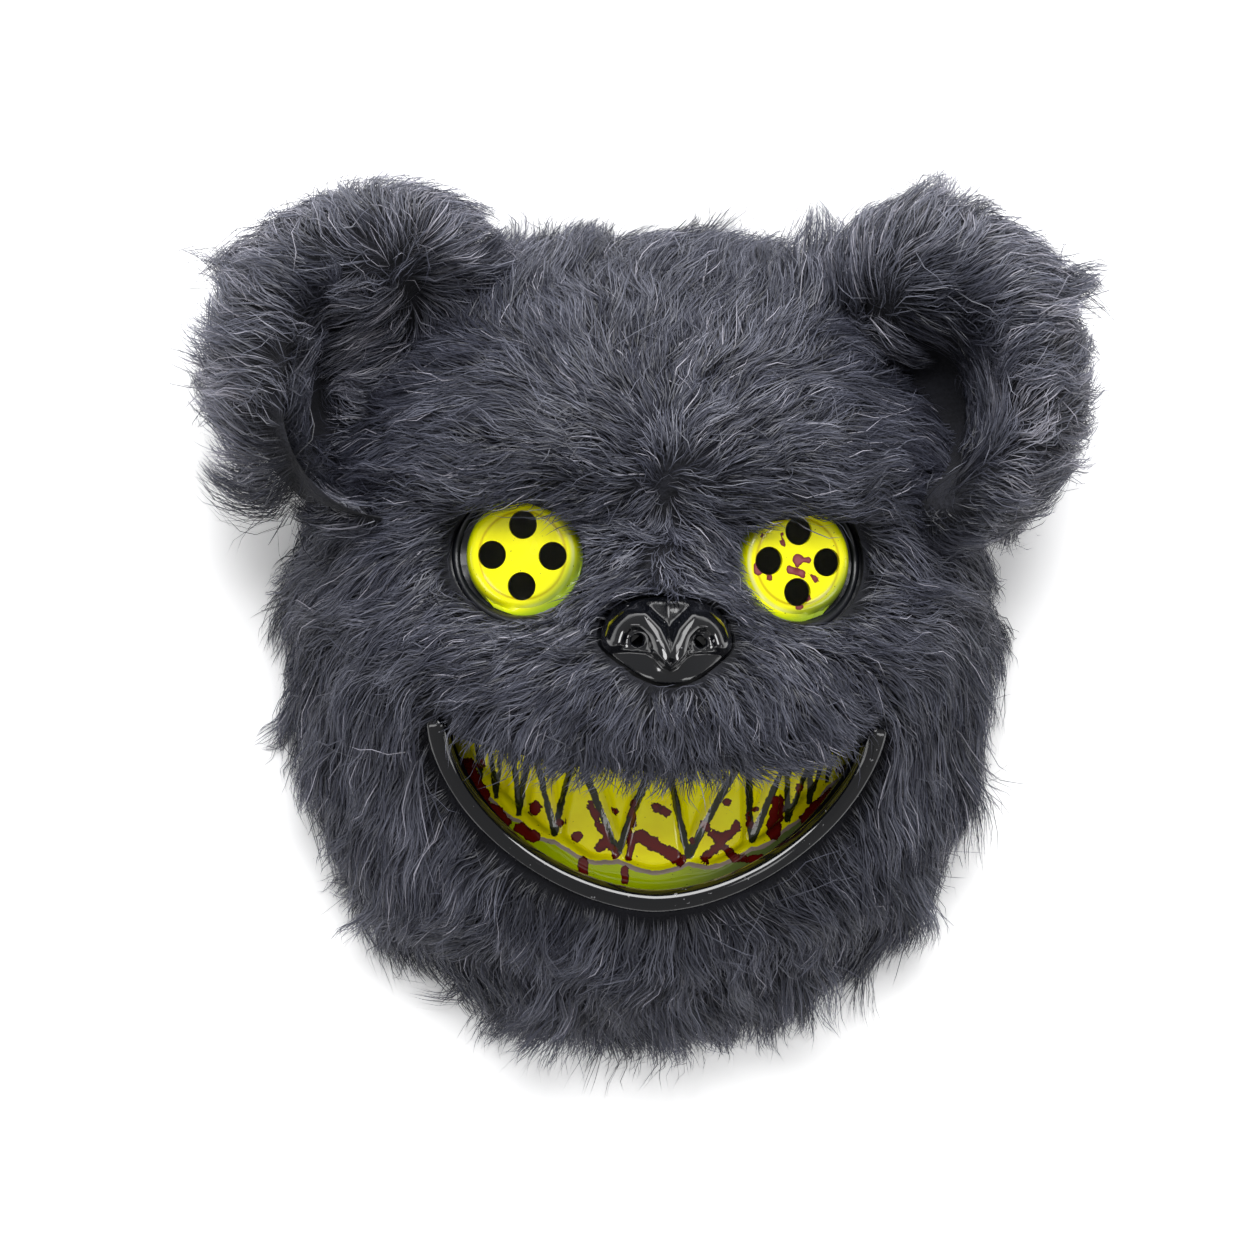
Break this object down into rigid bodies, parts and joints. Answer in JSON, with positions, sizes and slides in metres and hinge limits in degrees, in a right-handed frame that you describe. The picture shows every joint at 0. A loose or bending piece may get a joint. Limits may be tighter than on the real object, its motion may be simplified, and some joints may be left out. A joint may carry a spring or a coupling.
{
  "type": "furry bear face mask",
  "caption": "Full-face bear mask: thin plastic face under a long-haired plush cover, with cupped plush ears, pierced eye lenses, a nose and a wide toothy grin.",
  "frame": {"origin": "centre of the bounding box at the plane of the shell's rim, on which the mask lies face up", "axes": "+Z out of the face, +Y towards the crown, +X towards the ear on the viewer's right"},
  "size_m": [0.2546, 0.2508, 0.0962],
  "materials": {
    "plush": "long charcoal acrylic pile in uneven locks, dark at the roots",
    "shell_plastic": "black vacuum-formed plastic, glossy where it shows",
    "gloss_black": "high gloss black paint",
    "yellow_lens": "glossy yellow, lime towards the rim, with red-brown splashes",
    "yellow_teeth": "glossy yellow teeth and olive gums with dark grooves and red-brown splashes"
  },
  "bodies": {
    "root": {"face_shell": "shell_plastic", "plush_cover": "plush", "ear_left": "plush", "ear_right": "plush", "eye_lens_left": "yellow_lens", "eye_lens_right": "yellow_lens", "tooth_plate": "yellow_teeth", "lip_bead": "gloss_black", "nose": "gloss_black"}
  },
  "joints": []
}
